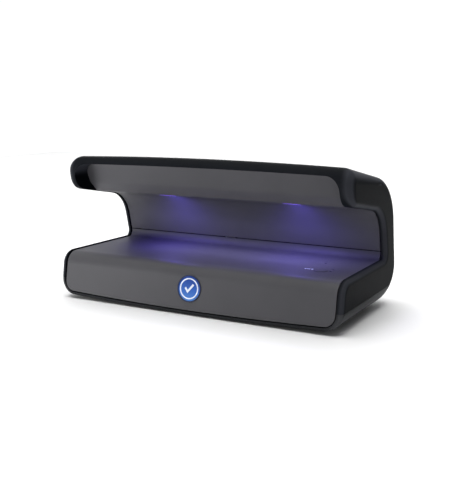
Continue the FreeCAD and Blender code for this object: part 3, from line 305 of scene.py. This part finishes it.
def mesh_object(name, bm, material):
    """An object from a finished bmesh, in the scene and with its material."""
    mesh = bpy.data.meshes.new(name)
    bm.to_mesh(mesh)
    bm.free()
    mesh.materials.append(material)
    obj = bpy.data.objects.new(name, mesh)
    bpy.context.scene.collection.objects.link(obj)
    return obj


def bar(middle):
    """Corners of an upright bar, in mm."""
    return [(middle - 0.3, -0.9), (middle + 0.3, -0.9), (middle + 0.3, 0.9), (middle - 0.3, 0.9)]


def oval(half_x, half_y, count=16):
    """Corners of an oval, in mm."""
    turns = [2 * math.pi * k / count for k in range(count)]
    return [(half_x * math.cos(turn), half_y * math.sin(turn)) for turn in turns]


# each printed mark: how far it lies from the first, in mm, and its outlines
LEGEND = {
    "legend_arrow": (0.0, [[(-0.9, 0.0), (0.7, -1.1), (0.7, 1.1)]]),
    "legend_bars": (2.4, [bar(-0.7), bar(0.5)]),
    "legend_spot": (4.7, [oval(0.7, 0.8)]),
}
LEGEND_LEFT = 10.9
LEGEND_BACK = 1.2
INK = 0.02


def make_legend():
    """Three small printed marks on the platform, to the left of the key."""
    low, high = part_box("mode_key")
    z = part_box("indicator_lenses")[1].z + INK * MM
    for name, (along, outlines) in LEGEND.items():
        x = (low.x + high.x) / 2 + (along - LEGEND_LEFT) * MM
        y = (low.y + high.y) / 2 + LEGEND_BACK * MM
        bm = bmesh.new()
        for corners in outlines:
            bm.faces.new([bm.verts.new((x + u * MM, y + v * MM, z)) for u, v in corners])
        bmesh.ops.recalc_face_normals(bm, faces=bm.faces[:])
        # the white print glows faintly by emission; on these marks, with no lamp behind them, that
        # glow is painted light
        mark = mesh_object(name, bm, MATERIALS["white_print"])
        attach(mark, "housing")


make_legend()


# ---------------------------------------------------------------- stage, light and camera

def floor_material():
    """Matte white, almost even."""
    n = Nodes("floor_white")
    cloud = n.noise(3, 2)
    white = (0.91, 0.91, 0.91)
    base = n.ramp(cloud, (0.3, tone(white, 0.99)), (0.7, white))
    n.finish(Base_Color=base, Roughness=n.spread(cloud, 0.60, 0.64))
    return n.finish(Specular_IOR_Level=0.2)


def make_floor():
    bm = bmesh.new()
    bmesh.ops.create_grid(bm, x_segments=1, y_segments=1, size=FLOOR_HALF)
    mesh_object("floor", bm, floor_material())


def softbox(name, place, aim, size, power, colour=(1, 1, 1)):
    """A rectangular area light that faces a point."""
    lamp = bpy.data.lights.new(name, "AREA")
    lamp.shape = "RECTANGLE"
    lamp.size, lamp.size_y = size
    lamp.energy = power
    lamp.color = colour
    obj = bpy.data.objects.new(name, lamp)
    obj.location = place
    obj.rotation_euler = (Vector(aim) - Vector(place)).to_track_quat("-Z", "Y").to_euler()
    bpy.context.scene.collection.objects.link(obj)
    return obj


def violet_lamps():
    """The light of the two ultraviolet lamps, as far as the eye sees it.

    Each lamp throws a violet pool on the back wall, and a paler light falls on the platform.
    """
    low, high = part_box("uv_windows")
    y = (low.y + high.y) / 2
    z = low.z - 0.8 * MM
    for x in (-LAMP_X, LAMP_X):
        softbox("violet_lamp", (x, y + 2 * MM, z), (x, y + 9 * MM, z - 29.2 * MM),
                (6 * MM, 6 * MM), LAMP_POWER, (0.17, 0.12, 1.0))
    x, y = 20 * MM, y - 2 * MM
    glow = softbox("platform_glow", (x, y, z), (x, y, z - 29.2 * MM),
                   (140 * MM, 10 * MM), GLOW_POWER, (0.58, 0.55, 1.0))
    glow.data.spread = math.radians(125)


def make_world():
    """A sky that is white behind the object and dim all round it elsewhere."""
    world = bpy.data.worlds.new("studio")
    world.use_nodes = True
    tree = world.node_tree
    place = tree.nodes.new("ShaderNodeTexCoord")
    dot = tree.nodes.new("ShaderNodeVectorMath")
    dot.operation = "DOT_PRODUCT"
    tree.links.new(place.outputs["Generated"], dot.inputs[0])
    dot.inputs[1].default_value = (-math.sin(VIEW_TURN), math.cos(VIEW_TURN), 0.0)
    reach = tree.nodes.new("ShaderNodeMapRange")
    reach.interpolation_type = "SMOOTHSTEP"
    tree.links.new(dot.outputs["Value"], reach.inputs["Value"])
    reach.inputs["From Min"].default_value = 0.72
    reach.inputs["From Max"].default_value = 0.90
    reach.inputs["To Min"].default_value = SKY_ELSEWHERE
    reach.inputs["To Max"].default_value = SKY_BEHIND
    sky = tree.nodes["Background"]
    sky.inputs["Color"].default_value = (0.98, 0.99, 1.0, 1)
    tree.links.new(reach.outputs["Result"], sky.inputs["Strength"])
    bpy.context.scene.world = world


def make_camera():
    """The viewpoint: in front, to the right and a little above."""
    data = bpy.data.cameras.new("camera")
    data.sensor_width = 36.0
    data.lens = VIEW_LENS
    camera = bpy.data.objects.new("camera", data)
    camera.location = VIEW_PLACE
    camera.rotation_euler = (VIEW_TILT, 0, VIEW_TURN)
    bpy.context.scene.collection.objects.link(camera)
    bpy.context.scene.camera = camera


def studio_lamps():
    """A large one above, one over the floor behind, and a small low one in front to the left."""
    softbox("overhead", (-0.2, 0.1, 1.5), (-0.1, 0.0, 0.0), (1.8, 1.5), 36.0)
    softbox("background", (-0.7, 1.3, 1.1), (-0.7, 1.2, 0.0), (1.8, 1.4), 9.0)
    softbox("front_left", (-0.30, -0.33, 0.030), (-0.07, 0, 0.08), (0.14, 0.05), 0.72)


make_floor()
make_world()
studio_lamps()
violet_lamps()
make_camera()
bpy.context.scene.view_settings.view_transform = "Standard"
